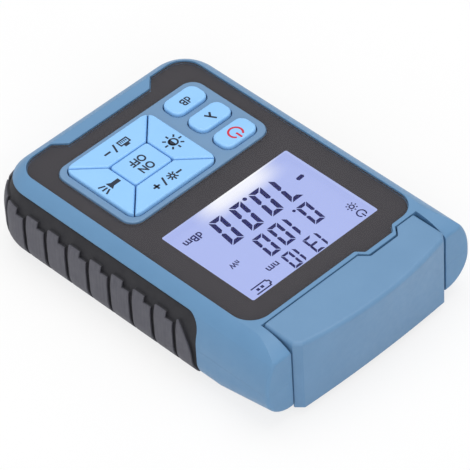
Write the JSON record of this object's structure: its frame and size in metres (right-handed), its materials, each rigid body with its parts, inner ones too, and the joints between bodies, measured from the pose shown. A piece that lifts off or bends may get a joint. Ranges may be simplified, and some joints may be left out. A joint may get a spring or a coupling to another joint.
{
  "type": "optical power meter",
  "caption": "Flat pocket meter for optical fibre: display window, keypad, rubber side grips, and a flip cover over the ports in its front end.",
  "frame": {"origin": "under the middle of the meter, on the flat of its back", "axes": "+X across the width, +Y along the length towards the ports and the flip cover, +Z out of the display"},
  "size_m": [0.0662, 0.0973, 0.0235],
  "materials": {
    "casing_plastic": "fine grained moulded plastic",
    "grip_rubber": "soft matt rubber",
    "lens_plastic": "clear plastic, printed dark behind",
    "keypad_plastic": "satin moulded plastic",
    "key_plastic": "satin moulded plastic",
    "mat_silicone": "soft silicone",
    "display_glass": "polished",
    "backlight_plastic": "opal plastic",
    "board_laminate": "solder mask",
    "lamp_plastic": "clear moulded resin",
    "cell_jacket": "plain jacket",
    "contact_steel": "nickel plated",
    "screw_steel": "zinc plated",
    "port_plastic": "moulded plastic",
    "port_metal": "nickel plated",
    "module_metal": "plated can",
    "jack_plastic": "moulded plastic",
    "jack_gilt": "gilt"
  },
  "bodies": {
    "housing": {"front_housing": "casing_plastic", "rear_housing": "casing_plastic", "left_grip": "grip_rubber", "right_grip": "grip_rubber", "lens_panel": "lens_plastic", "keypad_plate": "keypad_plastic", "key_mat": "mat_silicone", "display_glass": "display_glass", "display_backlight": "backlight_plastic", "main_board": "board_laminate", "indicator_lamp": "lamp_plastic", "battery_cell_1": "cell_jacket", "battery_cell_2": "cell_jacket", "battery_cell_3": "cell_jacket", "tail_contacts": "contact_steel", "front_contacts": "contact_steel", "case_screws": "screw_steel", "hinge_pins": "screw_steel", "port_panel": "port_plastic", "optical_port": "port_metal", "laser_port": "port_metal", "detector": "module_metal", "laser_module": "module_metal", "torch_lamp": "lamp_plastic", "network_jack": "jack_plastic", "jack_contacts": "jack_gilt"},
    "cover": {"flip_cover": "casing_plastic"},
    "door": {"battery_door": "casing_plastic"},
    "power_key_body": {"power_key": "key_plastic"},
    "wavelength_key_body": {"wavelength_key": "key_plastic"},
    "reference_key_body": {"reference_key": "key_plastic"},
    "plus_key_body": {"plus_key": "key_plastic"},
    "minus_key_body": {"minus_key": "key_plastic"},
    "torch_key_body": {"torch_key": "key_plastic"},
    "backlight_key_body": {"backlight_key": "key_plastic"},
    "auto_off_key_body": {"auto_off_key": "key_plastic"}
  },
  "joints": [
    {"name": "cover_hinge", "type": "hinge", "parent": "housing", "child": "cover", "pos_m": [0, 0.04155, 0.0055], "axis": [-1, 0, 0], "range_deg": [0, 135]},
    {"name": "battery_door_hinge", "type": "hinge", "parent": "housing", "child": "door", "pos_m": [0, 0.01225, 0], "axis": [1, 0, 0], "range_deg": [0, 60]},
    {"name": "power_key_press", "type": "slide", "parent": "housing", "child": "power_key_body", "axis": [0, 0, -1], "range_m": [0, 0.0004], "stiffness_N_per_m": 1500, "springref_m": -0.0002},
    {"name": "wavelength_key_press", "type": "slide", "parent": "housing", "child": "wavelength_key_body", "axis": [0, 0, -1], "range_m": [0, 0.0004], "stiffness_N_per_m": 1500, "springref_m": -0.0002},
    {"name": "reference_key_press", "type": "slide", "parent": "housing", "child": "reference_key_body", "axis": [0, 0, -1], "range_m": [0, 0.0004], "stiffness_N_per_m": 1500, "springref_m": -0.0002},
    {"name": "plus_key_press", "type": "slide", "parent": "housing", "child": "plus_key_body", "axis": [0, 0, -1], "range_m": [0, 0.0004], "stiffness_N_per_m": 1500, "springref_m": -0.0002},
    {"name": "minus_key_press", "type": "slide", "parent": "housing", "child": "minus_key_body", "axis": [0, 0, -1], "range_m": [0, 0.0004], "stiffness_N_per_m": 1500, "springref_m": -0.0002},
    {"name": "torch_key_press", "type": "slide", "parent": "housing", "child": "torch_key_body", "axis": [0, 0, -1], "range_m": [0, 0.0004], "stiffness_N_per_m": 1500, "springref_m": -0.0002},
    {"name": "backlight_key_press", "type": "slide", "parent": "housing", "child": "backlight_key_body", "axis": [0, 0, -1], "range_m": [0, 0.0004], "stiffness_N_per_m": 1500, "springref_m": -0.0002},
    {"name": "auto_off_key_press", "type": "slide", "parent": "housing", "child": "auto_off_key_body", "axis": [0, 0, -1], "range_m": [0, 0.0004], "stiffness_N_per_m": 1500, "springref_m": -0.0002}
  ]
}
